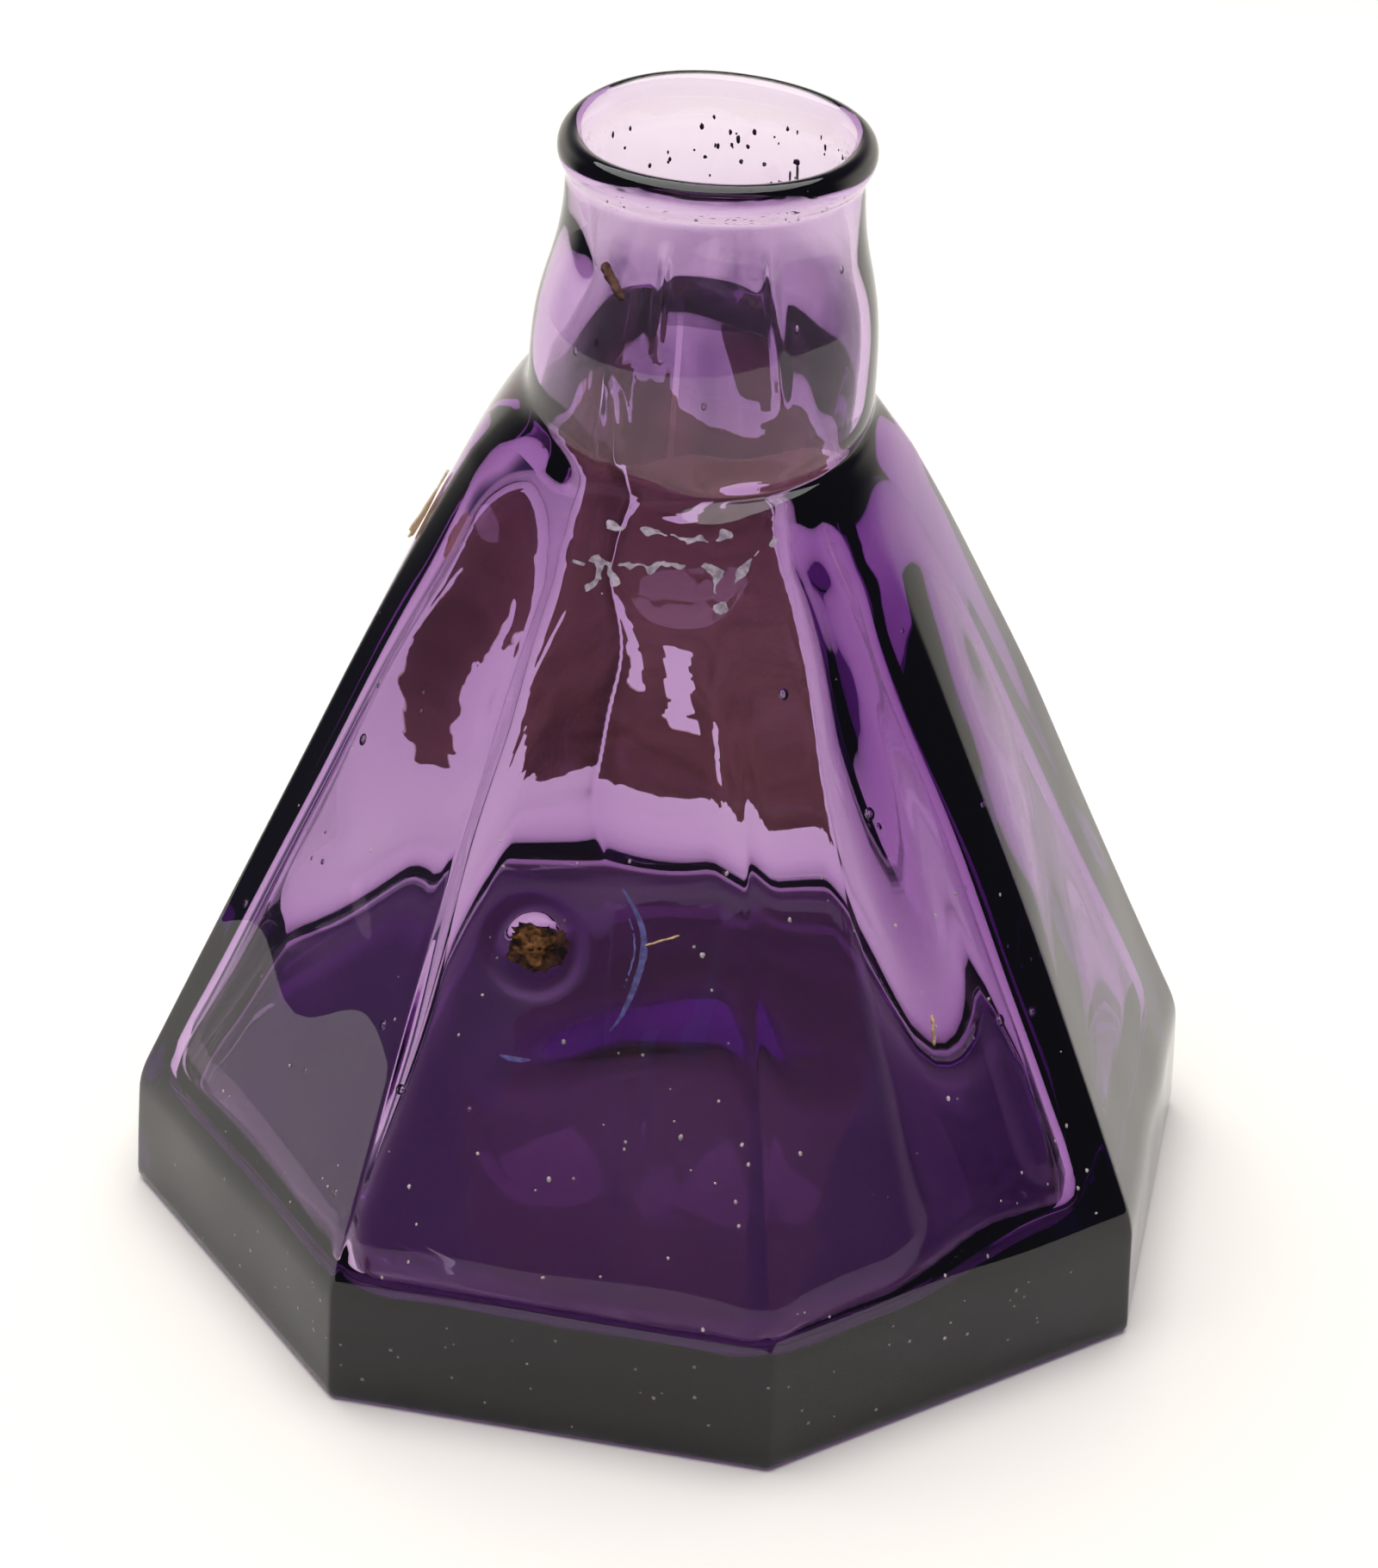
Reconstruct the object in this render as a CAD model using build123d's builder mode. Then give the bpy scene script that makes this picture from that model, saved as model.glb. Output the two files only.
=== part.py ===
"""An eight-sided umbrella ink bottle of blown amethyst glass, with the scraps of its paper label.

The bottle stands on z = 0 and its body is centred on the Z axis. Panel angles are measured in plan
from -Y towards +X, so the front panel is at 0 degrees and the right panel at 90. Millimetres.
"""

from build123d import *
import os
from math import atan2, cos, degrees, hypot, pi, radians, sin, tan

# Driving dimensions of the outside
SIDES = 8
PANEL_STEP = 360 / SIDES
BODY_RADIUS = 31.3  # corner radius at the top of the upright band
FOOT_RADIUS = 31.7  # corner radius where it stands
BAND_HEIGHT = 7.2
PYRAMID_TOP = 50.4  # height at which the sloping panels are set out
PYRAMID_TOP_RADIUS = 10.7
CORNER_ROUND = 0.7
FOOT_ROUND = 0.8

# The rounded shoulder, which sits lower in front and a little lower on the right
SHOULDER_TOP = 48.4
SHOULDER_SLOPE = radians(33)
SHOULDER_ARC = 9.0
SHOULDER_TURN = 22  # degrees that the arc turns through
SHOULDER_TILT_RIGHT = 4.5  # degrees
SHOULDER_TILT_FRONT = 9.0

# The neck and the ring of glass round its mouth, on one slightly leaning axis
NECK_BASE = 46.0
NECK_BASE_CENTRE = (0.3, 0.15)
NECK_LEAN = (0.035, -0.035)
NECK_RADIUS = 9.35  # where it meets the shoulder
NECK_TOP_RADIUS = 7.75
NECK_STRAIGHT = 5.5
NECK_COLLAR = 1.6
NECK_LENGTH = 15.2
BORE_SINK = 3.0
LIP_HEIGHT = 2.9
LIP_RADIUS = 8.4
LIP_BELLY = 1.3  # height of the ring's widest line above its foot
LIP_CROWN = 7.4  # radius of its highest line
LIP_WALL = 1.7  # height of the straight wall inside it
BORE_RADIUS = 6.6

# The hollow
FLOOR_THICKNESS = 5.8
WALL = 2.5  # measured level, at the middle of a panel
CAVITY_CORNER = 3.2
CAVITY_TOP = 43.8
CAVITY_FLOOR_ROUND = 2.8
CAVITY_TOP_ROUND = 2.4
KICK_RADIUS = 13.0
KICK_DEPTH = 1.6

# A burst bubble in the front panel, and the dirt caught in it
BLISTER_RADIUS = 2.0
BLISTER_DEPTH = 0.5
BLISTER_ACROSS = -3.1
BLISTER_UP = 19.7
CLOT_RADIUS = 1.5
CLOT_RISE = 0.75  # how far it stands up from the bottom of the bubble

# What is left of the paper label, on three panels
BACK_PANEL = 180
BACK_LEFT_PANEL = -135
LEFT_PANEL = -90
PAPER = 0.16
GAP = 0.02  # clearance of the paper and the dirt from the glass
LABEL_FOOT = 1.6  # distance up the slope of the label's lowest torn edge
LABEL_HEAD = 38.5
LEFT_SCRAP = (1.8, 35.0)  # its lower corner that still holds to the glass
LEFT_SCRAP_LIFT = 6  # degrees by which its free edge curls away

HALF_STEP = pi / SIDES
PYRAMID_RISE = PYRAMID_TOP - BAND_HEIGHT
BODY_APOTHEM = BODY_RADIUS * cos(HALF_STEP)
TOP_APOTHEM = PYRAMID_TOP_RADIUS * cos(HALF_STEP)
PANEL_SLOPE = atan2(BODY_APOTHEM - TOP_APOTHEM, PYRAMID_RISE)
PANEL_LENGTH = hypot(BODY_APOTHEM - TOP_APOTHEM, PYRAMID_RISE)

NECK_PLANE = Plane(
    origin=(*NECK_BASE_CENTRE, NECK_BASE), x_dir=(1, 0, -NECK_LEAN[0]), z_dir=(*NECK_LEAN, 1)
)


def panel_plane(angle):
    """The outer face of a sloping panel: x runs along it to the right, y up its slope, z outwards."""
    a = radians(angle)
    outward = Vector(sin(a), -cos(a), 0)
    return Plane(
        origin=outward * BODY_APOTHEM + Vector(0, 0, BAND_HEIGHT),
        x_dir=(cos(a), sin(a), 0),
        z_dir=outward * cos(PANEL_SLOPE) + Vector(0, 0, sin(PANEL_SLOPE)),
    )


def panel_half_width(up):
    """Half the width of a sloping panel at a distance up its slope."""
    share = up / PANEL_LENGTH
    return (BODY_RADIUS + (PYRAMID_TOP_RADIUS - BODY_RADIUS) * share) * sin(HALF_STEP)


def on_panel(angle, across, up, out=0.0):
    """A plane parallel to a sloping panel, its origin at a place on the panel and a height off it."""
    panel = panel_plane(angle)
    place = panel.from_local_coords(Vector(across, up, out))
    return Plane(origin=place, x_dir=panel.x_dir, z_dir=panel.z_dir)


def cap_sphere_radius(radius, depth):
    """Radius of the sphere whose cap has a given rim radius and depth."""
    return (radius**2 + depth**2) / (2 * depth)


def apothem_at(z):
    """Half the distance across two opposite panels at a height."""
    return BODY_APOTHEM + (TOP_APOTHEM - BODY_APOTHEM) * (z - BAND_HEIGHT) / PYRAMID_RISE


def octagon(height, corner_radius, rounding=0.0):
    """An octagon with a flat side to the front, at a height, its corners rounded if asked."""
    with BuildSketch(Plane.XY.offset(height)) as sketch:
        RegularPolygon(corner_radius, SIDES, rotation=degrees(HALF_STEP))
        if rounding:
            fillet(sketch.vertices(), rounding)
    return sketch.sketch


def make_shoulder_dome():
    """The dome that trims the pyramid: a cone to the neck, an arc, then a skirt that clears the panels."""
    plane = Plane(origin=(0, 0, SHOULDER_TOP), x_dir=(1, 0, 0), z_dir=(0, -1, 0))
    apex = NECK_RADIUS * tan(SHOULDER_SLOPE)
    with BuildPart() as dome:
        with BuildSketch(plane):
            with BuildLine():
                cap = Line((0, apex), (NECK_RADIUS, 0))
                arc = JernArc(
                    start=cap @ 1, tangent=cap % 1, radius=SHOULDER_ARC, arc_size=-SHOULDER_TURN
                )
                skirt = PolarLine(start=arc @ 1, length=2 * SHOULDER_TOP, direction=arc % 1)
                foot = Line(skirt @ 1, (0, (skirt @ 1).Y))
                Line(foot @ 1, cap @ 0)
            make_face()
        revolve(axis=Axis.Z)
    leant = dome.part.rotate(Axis((0, 0, SHOULDER_TOP), (0, 1, 0)), SHOULDER_TILT_RIGHT)
    return leant.rotate(Axis((0, 0, SHOULDER_TOP), (1, 0, 0)), SHOULDER_TILT_FRONT)


def make_neck():
    """The outside of the neck, solid, standing in its own leaning plane."""
    crease = NECK_LENGTH - NECK_COLLAR
    with BuildPart() as neck:
        with BuildSketch(Plane.XZ):
            with BuildLine():
                Polyline((0, 0), (NECK_RADIUS, 0), (NECK_RADIUS, NECK_STRAIGHT))
                Spline(
                    (NECK_RADIUS, NECK_STRAIGHT),
                    (NECK_TOP_RADIUS, crease),
                    tangents=((0, 1), (-0.2, 1)),
                )
                Polyline(
                    (NECK_TOP_RADIUS, crease), (NECK_TOP_RADIUS, NECK_LENGTH), (0, NECK_LENGTH), (0, 0)
                )
            make_face()
        revolve(axis=Axis.Z)
    return neck.part.moved(NECK_PLANE.location)


def make_cavity():
    """The hollow inside: a rounded eight-sided pyramid under a round bore that runs out of the neck."""
    floor_apothem = apothem_at(FLOOR_THICKNESS) - WALL
    top_apothem = apothem_at(CAVITY_TOP) - WALL
    corner = 1 / cos(HALF_STEP)
    with BuildPart() as cavity:
        loft(
            [
                octagon(FLOOR_THICKNESS, floor_apothem * corner, CAVITY_CORNER),
                octagon(CAVITY_TOP, top_apothem * corner, CAVITY_CORNER),
            ]
        )
        fillet(cavity.faces().sort_by(Axis.Z)[0].edges(), CAVITY_FLOOR_ROUND)
        fillet(cavity.faces().sort_by(Axis.Z)[-1].edges(), CAVITY_TOP_ROUND)
    with BuildPart(NECK_PLANE) as bore:
        Cylinder(BORE_RADIUS, NECK_LENGTH + 10, align=(Align.CENTER, Align.CENTER, Align.MIN))
    return cavity.part + bore.part.moved(Location((0, 0, -BORE_SINK)))


def make_glass_body():
    """The blown body: upright band, eight sloping panels, shoulder and neck, hollow, with a heavy floor."""
    dome = make_shoulder_dome()
    neck = make_neck()
    cavity = make_cavity()
    with BuildPart() as body:
        loft([octagon(0, FOOT_RADIUS), octagon(BAND_HEIGHT, BODY_RADIUS)])
        loft([octagon(BAND_HEIGHT, BODY_RADIUS), octagon(PYRAMID_TOP, PYRAMID_TOP_RADIUS)])
        fillet(body.edges().filter_by(lambda e: abs(e.tangent_at(0.5).Z) > 0.5), CORNER_ROUND)
        fillet(body.faces().sort_by(Axis.Z)[0].edges(), FOOT_ROUND)
        add(dome, mode=Mode.INTERSECT)
        add(neck)
        add(cavity, mode=Mode.SUBTRACT)
        kick = cap_sphere_radius(KICK_RADIUS, KICK_DEPTH)
        with Locations((0, 0, KICK_DEPTH - kick)):
            Sphere(kick, mode=Mode.SUBTRACT)
        bubble = cap_sphere_radius(BLISTER_RADIUS, BLISTER_DEPTH)
        with Locations(on_panel(0, BLISTER_ACROSS, BLISTER_UP, bubble - BLISTER_DEPTH)):
            Sphere(bubble, mode=Mode.SUBTRACT)
    return body


def make_lip_ring():
    """The rounded ring of glass laid round the end of the neck, with the bore running on through it."""
    with BuildPart() as ring:
        with BuildSketch(Plane.XZ):
            with BuildLine():
                foot = Line((BORE_RADIUS, 0), (NECK_TOP_RADIUS, 0))
                belly = Spline(
                    foot @ 1, (LIP_RADIUS, LIP_BELLY), (LIP_CROWN, LIP_HEIGHT),
                    tangents=((0.9, 0.3), (-1, 0)),
                )
                wall_top = (BORE_RADIUS, LIP_WALL)
                Spline(belly @ 1, wall_top, tangents=((-1, 0), (0, -1)))
                Line(wall_top, foot @ 0)
            make_face()
        revolve(axis=Axis.Z)
    ring.part = ring.part.moved(NECK_PLANE.location * Location((0, 0, NECK_LENGTH)))
    return ring


def make_label_back():
    """The scrap on the back panel, torn away on the one side and slit where the paper has split."""
    edge = panel_half_width(LABEL_FOOT) - CORNER_ROUND
    top_edge = panel_half_width(LABEL_HEAD) - CORNER_ROUND
    torn = [
        (edge - 1.5, LABEL_FOOT + 0.6), (8.5, LABEL_FOOT), (4.6, 2.2), (1.2, 2.9), (-2.2, 1.7), (-6.0, 1.2),
        (-10.2, 1.0), (-9.6, 6.0), (-9.3, 11.0), (-8.6, 16.0), (-8.0, 20.5), (-7.0, 26.0), (-5.6, 30.0),
        (-5.0, 35.0), (-3.5, LABEL_HEAD),
    ]
    slits = [
        [(5.0, 19.6), (5.7, 20.2), (6.3, 10.6), (5.6, 10.4)],
        [(2.4, 12.0), (3.0, 12.2), (3.5, 5.6), (2.9, 5.4)],
    ]
    with BuildPart() as scrap:
        with BuildSketch(on_panel(BACK_PANEL, 0, 0, GAP)):
            with BuildLine():
                Polyline(*torn, (top_edge, LABEL_HEAD), (edge, LABEL_FOOT + 1), close=True)
            make_face()
            for slit in slits:
                with BuildLine():
                    Polyline(*slit, close=True)
                make_face(mode=Mode.SUBTRACT)
        extrude(amount=PAPER)
    return scrap


def make_label_back_left():
    """The scrap on the back left panel, which runs on from the back one and ends in a torn edge."""
    edge = panel_half_width(LABEL_FOOT) - CORNER_ROUND
    top_edge = panel_half_width(LABEL_HEAD) - CORNER_ROUND
    torn = [
        (1.2, 15.0), (2.6, 10.4), (3.4, 17.0), (4.0, 21.0), (5.2, 25.0), (5.6, 30.0), (4.8, 34.0),
        (3.6, LABEL_HEAD),
    ]
    with BuildPart() as scrap:
        with BuildSketch(on_panel(BACK_LEFT_PANEL, 0, 0, GAP)):
            with BuildLine():
                Polyline(
                    (-edge, LABEL_FOOT + 2), (-6.4, 4.2), (-2.6, 8.0), (-0.5, 12.0), *torn,
                    (-top_edge, LABEL_HEAD), close=True,
                )
            make_face()
        extrude(amount=PAPER)
    return scrap


def make_label_left():
    """The small scrap high on the left panel, whose front edge has curled away from the glass."""
    held = on_panel(LEFT_PANEL, *LEFT_SCRAP, GAP)
    curled = held.rotated((0, -LEFT_SCRAP_LIFT, 0))
    with BuildPart() as scrap:
        with BuildSketch(curled):
            with BuildLine():
                Polyline(
                    (0, 1.0), (1.4, 0), (3.0, 0.3), (3.5, 1.8), (3.0, 3.8), (1.5, 4.4), (0.3, 3.4),
                    close=True,
                )
            make_face()
        extrude(amount=PAPER)
    return scrap


def make_residue_clot():
    """The clot of dried dirt that fills the middle of the burst bubble."""
    bubble = cap_sphere_radius(BLISTER_RADIUS, BLISTER_DEPTH)
    with BuildPart(on_panel(0, BLISTER_ACROSS, BLISTER_UP, GAP - BLISTER_DEPTH)) as clot:
        with Locations((0, 0, CLOT_RISE - CLOT_RADIUS)):
            Sphere(CLOT_RADIUS)
        with Locations((0, 0, bubble)):
            Sphere(bubble, mode=Mode.INTERSECT)
    return clot


PIECES = {
    "glass_body": make_glass_body,
    "lip_ring": make_lip_ring,
    "label_scrap_back": make_label_back,
    "label_scrap_back_left": make_label_back_left,
    "label_scrap_left": make_label_left,
    "residue_clot": make_residue_clot,
}

os.makedirs("parts", exist_ok=True)
for name, make in PIECES.items():
    piece = make()
    piece.part.label = name
    export_step(piece.part, f"parts/{name}.step")
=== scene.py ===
"""An eight-sided umbrella ink bottle of blown amethyst glass, with the scraps of its paper label.

The bottle stands on z = 0. Plan angles are measured from -Y towards +X, so the front panel is at 0.
The glass is one skin: up the outside from the middle of the foot, over the lip, and down the inside.
"""

import math
import random

import bpy
import numpy as np
from mathutils import Matrix, Vector


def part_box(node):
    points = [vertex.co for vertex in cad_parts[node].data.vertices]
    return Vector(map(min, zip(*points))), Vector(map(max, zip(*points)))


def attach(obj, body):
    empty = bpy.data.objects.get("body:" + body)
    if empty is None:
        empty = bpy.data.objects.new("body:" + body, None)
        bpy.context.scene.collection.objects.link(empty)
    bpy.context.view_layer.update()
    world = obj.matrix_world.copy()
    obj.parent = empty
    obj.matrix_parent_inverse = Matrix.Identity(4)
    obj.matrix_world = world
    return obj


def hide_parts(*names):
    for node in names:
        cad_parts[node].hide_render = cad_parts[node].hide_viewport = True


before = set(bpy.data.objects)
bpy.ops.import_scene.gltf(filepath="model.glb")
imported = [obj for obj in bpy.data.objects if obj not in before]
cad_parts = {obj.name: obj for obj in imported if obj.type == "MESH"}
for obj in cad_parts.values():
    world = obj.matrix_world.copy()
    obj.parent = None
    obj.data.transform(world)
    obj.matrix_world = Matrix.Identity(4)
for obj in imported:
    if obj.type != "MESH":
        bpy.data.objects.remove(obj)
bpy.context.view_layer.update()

bl_info = {
    "name": "Umbrella Ink Bottle",
    "version": (1, 0, 0),
    "blender": (4, 5, 0),
    "location": "View3D > Sidebar > Ink Bottle",
    "description": "Models an old eight-sided glass ink bottle with what is left of its label",
    "category": "Add Mesh",
}

MM = 0.001
WELD = 0.0005 * MM  # points nearer than this are welded into one
SIDES = 8
STEP = 2 * math.pi / SIDES
HALF_STEP = STEP / 2

# Places taken from the frame
_, GLASS_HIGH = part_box("glass_body")
LIP_LOW, LIP_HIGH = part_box("lip_ring")
LIP_CENTRE = (LIP_LOW + LIP_HIGH) / 2
CLOT_LOW, CLOT_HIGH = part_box("residue_clot")
CLOT_CENTRE = (CLOT_LOW + CLOT_HIGH) / 2
FOOT_APOTHEM = GLASS_HIGH.x + 0.03 * MM  # the rounded foot eases the skin back inside the frame
RIM_TOP = LIP_HIGH.z - 0.75 * MM  # the lean and the sway of the rim take up the rest

# Heights on the axis from which the two sides of the skin are cast
OUTSIDE_CENTRE = 20 * MM
HOLLOW_CENTRE = 25 * MM

# What the wall gains at the back, towards the top of the front, and beside the right hand corners
BACK_GAIN = 1.7
TOP_GAIN = 2.7
RIGHT_GAIN = 2.4

# The stage
FLOOR_RADIUS = 250 * MM
FLOOR_DROP = 0.04 * MM  # keeps the floor just clear of the foot
EYE = (36.93 * MM, -180.2 * MM, 124.94 * MM)
LOOKED_AT = (-0.4 * MM, 4.73 * MM, 21.83 * MM)
ROLL = math.radians(2.17)
LENS = 84.12

# Rings of the glass skin
UNDER_RINGS = 22
BAND_RINGS = 16
PANEL_RINGS = 128
NECK_RINGS = 34
LIP_RINGS = 22
BORE_RINGS = 22
HOLLOW_RINGS = 92


class InkBottleSizes(bpy.types.PropertyGroup):
    """Sizes of the bottle that a glassmaker would change"""

    band_height: bpy.props.FloatProperty(
        name="Band Height", description="Height of the upright band", default=7.2 * MM, unit="LENGTH"
    )
    band_radius: bpy.props.FloatProperty(
        name="Body Radius", description="Corner radius at the top of the band",
        default=31.3 * MM, unit="LENGTH",
    )
    top_height: bpy.props.FloatProperty(
        name="Panel Top Height", description="Height to which the sloping panels are set out",
        default=50.4 * MM, unit="LENGTH",
    )
    top_radius: bpy.props.FloatProperty(
        name="Panel Top Radius", description="Corner radius where the panels are set out to end",
        default=10.7 * MM, unit="LENGTH",
    )
    corner_round: bpy.props.FloatProperty(
        name="Corner Rounding", description="Radius of the upright corners", default=0.42 * MM, unit="LENGTH"
    )
    shoulder_height: bpy.props.FloatProperty(
        name="Shoulder Height", description="Height at which the shoulder meets the neck",
        default=48.2 * MM, unit="LENGTH",
    )
    shoulder_lean: bpy.props.FloatVectorProperty(
        name="Shoulder Lean", description="Fall of the shoulder to the right and to the front",
        default=(0.09, 0.19), size=2,
    )
    lip_lean: bpy.props.FloatVectorProperty(
        name="Lip Lean", description="Fall of the lip to the right and to the front",
        default=(0.022, 0.065), size=2,
    )
    neck_radius: bpy.props.FloatProperty(
        name="Neck Radius", description="Radius of the neck above the shoulder",
        default=9.42 * MM, unit="LENGTH",
    )
    neck_top_radius: bpy.props.FloatProperty(
        name="Neck Top Radius", description="Radius of the neck below the lip",
        default=7.82 * MM, unit="LENGTH",
    )
    bore_radius: bpy.props.FloatProperty(
        name="Bore Radius", description="Radius of the mouth", default=6.6 * MM, unit="LENGTH"
    )
    floor_thickness: bpy.props.FloatProperty(
        name="Floor Thickness", description="Thickness of the heavy floor", default=5.2 * MM, unit="LENGTH"
    )
    wall: bpy.props.FloatProperty(
        name="Wall", description="Thickness of the wall low down in the front",
        default=1.1 * MM, unit="LENGTH",
    )
    neck_wall: bpy.props.FloatProperty(
        name="Neck Wall", description="Thickness of the wall low in the neck", default=2.8 * MM, unit="LENGTH"
    )
    kick_depth: bpy.props.FloatProperty(
        name="Kick-up Depth", description="Depth of the hollow under the foot",
        default=1.6 * MM, unit="LENGTH",
    )
    blister_radius: bpy.props.FloatProperty(
        name="Burst Bubble Radius", description="Radius of the burst bubble in the front panel",
        default=3.15 * MM, unit="LENGTH",
    )
    blister_depth: bpy.props.FloatProperty(
        name="Burst Bubble Depth", description="Depth of the pit in its middle",
        default=0.3 * MM, unit="LENGTH",
    )
    blister_swell: bpy.props.FloatProperty(
        name="Burst Bubble Swell", description="Height of the swelling round the pit",
        default=0.17 * MM, unit="LENGTH",
    )


class InkBottleFinish(bpy.types.PropertyGroup):
    """Colours of the glass, the paper and the dirt"""

    glass_tint: bpy.props.FloatVectorProperty(
        name="Glass Tint", description="Colour that the depth of the glass lets through",
        default=(0.56, 0.26, 0.66), subtype="COLOR", size=3, min=0, max=1,
    )
    glass_depth: bpy.props.FloatProperty(
        name="Glass Depth", description="How strongly the glass is coloured", default=295.0
    )
    paper_outside: bpy.props.FloatVectorProperty(
        name="Paper Outside", description="Colour of the outside of the old label",
        default=(0.62, 0.53, 0.36), subtype="COLOR", size=3, min=0, max=1,
    )
    paper_colour: bpy.props.FloatVectorProperty(
        name="Paper Glued Side", description="Colour of the side of the label that is glued to the glass",
        default=(0.11, 0.088, 0.095), subtype="COLOR", size=3, min=0, max=1,
    )
    dirt_colour: bpy.props.FloatVectorProperty(
        name="Dirt Colour", description="Colour of the dried dirt", default=(0.10, 0.045, 0.018),
        subtype="COLOR", size=3, min=0, max=1,
    )


def sizes():
    return bpy.context.scene.ink_bottle_sizes


def finish():
    return bpy.context.scene.ink_bottle_finish


# ---------------------------------------------------------------- shape of the glass


def smooth_step(x):
    x = np.clip(x, 0, 1)
    return x * x * (3 - 2 * x)


def smooth_min(a, b, width):
    """The lesser of two distances, run together over a width."""
    share = np.clip(0.5 + 0.5 * (b - a) / width, 0, 1)
    return b + (a - b) * share - width * share * (1 - share)


def soft_waves(points, seed, shortest, longest, count=9):
    """Gentle unevenness between about -1 and 1, the same for the same seed."""
    draw = np.random.default_rng(seed)
    total = np.zeros(points.shape[:-1])
    for _ in range(count):
        way = draw.normal(size=3)
        way /= np.linalg.norm(way)
        length = draw.uniform(shortest, longest)
        total += np.sin(points @ way * (2 * math.pi / length) + draw.uniform(0, 2 * math.pi))
    return total / math.sqrt(count)


def eight_sided(angle, apothem, rounding):
    """Radius of a round-cornered octagon in a plan direction."""
    from_corner = np.abs((angle % STEP) - HALF_STEP)
    flat = apothem / np.cos(HALF_STEP - from_corner)
    centre = (apothem - rounding) / math.cos(HALF_STEP)
    reach = np.sqrt(np.maximum(rounding**2 - (centre * np.sin(from_corner)) ** 2, 0))
    arc = centre * np.cos(from_corner) + reach
    tangent = HALF_STEP - np.arctan2((apothem - rounding) * math.tan(HALF_STEP), apothem)
    return np.where(from_corner < tangent, arc, flat)


def panel_apothem(height):
    s = sizes()
    slope = (s.top_radius - s.band_radius) / (s.top_height - s.band_height)
    return (s.band_radius + slope * (height - s.band_height)) * math.cos(HALF_STEP)


def band_apothem(height):
    s = sizes()
    top = s.band_radius * math.cos(HALF_STEP)
    return FOOT_APOTHEM + (top - FOOT_APOTHEM) * height / s.band_height


def shoulder_top(radius):
    """Height of the domed shoulder at a radius: a cone by the neck, an arc, then a skirt."""
    s = sizes()
    first, last, arc_radius = math.radians(31), math.radians(56), 9 * MM
    start = s.neck_radius
    run = arc_radius * (math.sin(last) - math.sin(first))
    along = np.clip(radius - start, 0, run)
    turned = np.arcsin(np.clip(along / arc_radius + math.sin(first), -1, 1))
    drop = arc_radius * (math.cos(first) - np.cos(turned))
    beyond = np.maximum(radius - start - run, 0) * math.tan(last)
    inside = np.minimum(radius - start, 0) * math.tan(first)
    return s.shoulder_height - drop - beyond - inside


def foot_height(radius):
    """Height of the underside: flat at the rim, with a shallow round hollow in the middle."""
    s = sizes()
    share = np.clip(radius / (14.5 * MM), 0, 1)
    return s.kick_depth * (1 - smooth_step(share**1.3))


def floor_height(radius):
    """Height of the hollow's floor, which swells up a little in the middle."""
    return sizes().floor_thickness + 0.25 * MM * np.exp(-((radius / (12 * MM)) ** 2))


def wall_thickness(angle, height):
    """Thickness of the uneven wall: thin low in front, heavy at the back and by the right corners."""
    s = sizes()
    front = 0.5 + 0.5 * np.cos(angle - 0.3)
    up = np.clip((height - 8 * MM) / (37 * MM), 0, 1)
    right = np.abs(np.angle(np.exp(1j * (angle - 2 * STEP))))
    heavy = RIGHT_GAIN * smooth_step((0.92 - right) / 0.5)
    return s.wall + (BACK_GAIN * (1 - front) + TOP_GAIN * front * up + heavy) * MM


def roof_height(radius):
    """Height of the hollow's roof, which rises towards the bore."""
    s = sizes()
    return s.shoulder_height - 2.4 * MM - (radius - s.neck_radius + s.neck_wall) * 0.62


def cast(angle, rise, centre, outside):
    """Distance from a point on the axis to where a surface is met; outside() is above zero beyond it."""
    near = np.zeros_like(rise)
    far = np.full_like(rise, 70 * MM)
    for _ in range(34):
        middle = (near + far) / 2
        radius = middle * np.cos(rise)
        height = centre + middle * np.sin(rise)
        beyond = outside(angle, radius, height) > 0
        far = np.where(beyond, middle, far)
        near = np.where(beyond, near, middle)
    return (near + far) / 2


def outer_skin(angle, rise, centre):
    """The outside from the middle of the foot to the neck, as points for plan angles and rises."""
    s = sizes()

    def past_band(a, r, h):
        return r - eight_sided(a, band_apothem(h), s.corner_round)

    def past_panel(a, r, h):
        rounding = s.corner_round * (1 + 1.5 * smooth_step((h - 36 * MM) / (12 * MM)))
        return r - eight_sided(a, np.maximum(panel_apothem(h), 3 * MM), rounding)

    def past_shoulder(a, r, h):
        return h + fall(s.shoulder_lean, a, r) - shoulder_top(r)

    def past_foot(a, r, h):
        return foot_height(r) - h

    walls = smooth_min(
        cast(angle, rise, centre, past_band), cast(angle, rise, centre, past_panel), 0.55 * MM
    )
    walls = smooth_min(walls, cast(angle, rise, centre, past_shoulder), 1.9 * MM)
    reach = smooth_min(walls, cast(angle, rise, centre, past_foot), 1.1 * MM)
    return polar(angle, rise, centre, reach)


def inner_skin(angle, rise, centre):
    """The hollow from the bore to the middle of its floor."""
    s = sizes()

    def past_wall(a, r, h):
        corner = 3.6 * MM + 1.2 * MM * smooth_step((h - 30 * MM) / (15 * MM))
        return r - eight_sided(a, np.maximum(panel_apothem(h) - wall_thickness(a, h), corner + MM), corner)

    def past_roof(a, r, h):
        return h + fall(s.shoulder_lean, a, r) - roof_height(r)

    def past_floor(a, r, h):
        return floor_height(r) - h

    walls = smooth_min(
        cast(angle, rise, centre, past_wall), cast(angle, rise, centre, past_roof), 4.0 * MM
    )
    reach = smooth_min(walls, cast(angle, rise, centre, past_floor), 8.0 * MM)
    return polar(angle, rise, centre, reach)


def fall(lean, angle, radius):
    """How far a leaning ring has dropped at a plan angle and radius."""
    return radius * (lean[0] * np.sin(angle) + lean[1] * np.cos(angle))


def polar(angle, rise, centre, reach):
    radius = reach * np.cos(rise)
    return np.stack(
        [radius * np.sin(angle), -radius * np.cos(angle), centre + reach * np.sin(rise)], axis=-1
    )


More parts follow.
